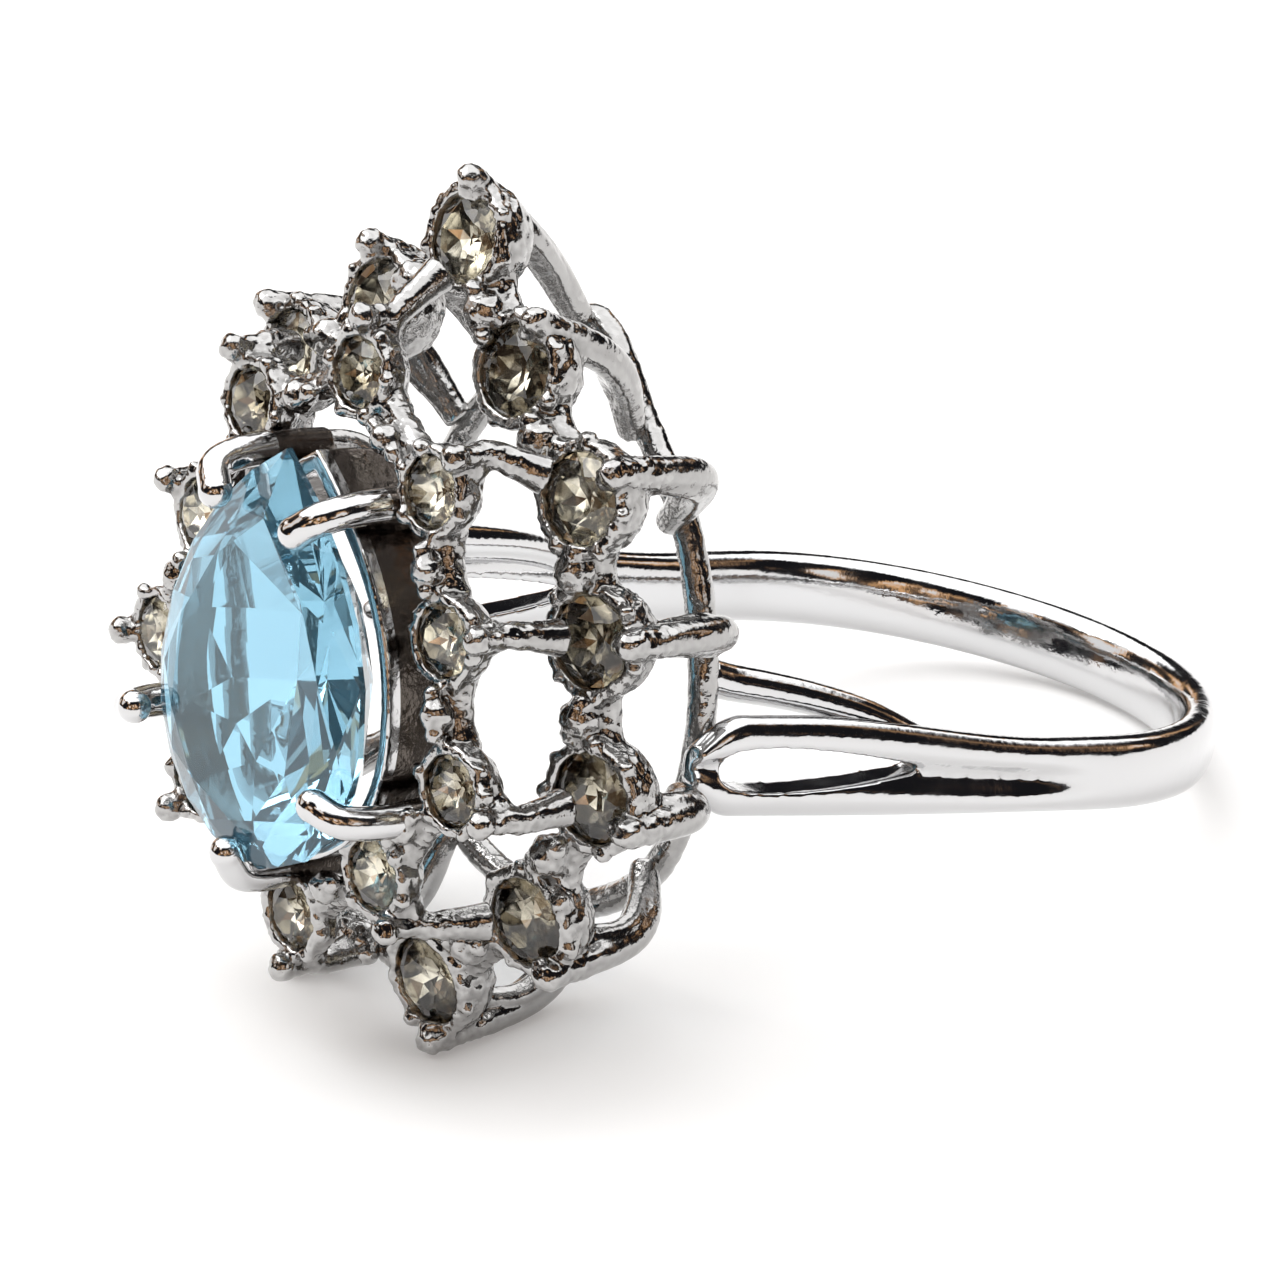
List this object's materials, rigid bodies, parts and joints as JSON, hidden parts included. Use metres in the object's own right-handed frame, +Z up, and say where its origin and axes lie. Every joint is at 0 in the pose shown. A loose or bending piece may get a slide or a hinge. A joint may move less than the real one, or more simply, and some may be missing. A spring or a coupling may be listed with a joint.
{
  "type": "cocktail ring",
  "caption": "Plated cocktail ring with a pear-cut aqua stone in five prongs, two open tiers of small foiled crystals and a split-shoulder band.",
  "frame": {"origin": "centre of the bottom of the bounding box, on the table the ring rests on", "axes": "+Z up from the table, -Y the way the head and its stone face, X across the head; the head leans back 11.6 degrees from +Z towards +Y"},
  "size_m": [0.0222, 0.0376, 0.0268],
  "materials": {
    "plated_metal": "bright rhodium-tone plating over a cast base, slightly rough in the recesses",
    "aqua_glass": "polished light blue faceted glass",
    "foiled_crystal": "polished smoky champagne crystal with a foiled back"
  },
  "bodies": {
    "root": {"shank": "plated_metal", "shoulder_strut_right": "plated_metal", "shoulder_strut_left": "plated_metal", "base_rail": "plated_metal", "outer_tier_setting": "plated_metal", "inner_tier_setting": "plated_metal", "centre_seat": "plated_metal", "centre_stone": "aqua_glass", "inner_crystal_01": "foiled_crystal", "inner_crystal_02": "foiled_crystal", "inner_crystal_03": "foiled_crystal", "inner_crystal_04": "foiled_crystal", "inner_crystal_05": "foiled_crystal", "inner_crystal_06": "foiled_crystal", "inner_crystal_07": "foiled_crystal", "inner_crystal_08": "foiled_crystal", "inner_crystal_09": "foiled_crystal", "inner_crystal_10": "foiled_crystal", "outer_crystal_01": "foiled_crystal", "outer_crystal_02": "foiled_crystal", "outer_crystal_03": "foiled_crystal", "outer_crystal_04": "foiled_crystal", "outer_crystal_05": "foiled_crystal", "outer_crystal_06": "foiled_crystal", "outer_crystal_07": "foiled_crystal", "outer_crystal_08": "foiled_crystal", "outer_crystal_09": "foiled_crystal", "outer_crystal_10": "foiled_crystal", "outer_crystal_11": "foiled_crystal", "outer_crystal_12": "foiled_crystal", "outer_crystal_13": "foiled_crystal"}
  },
  "joints": []
}
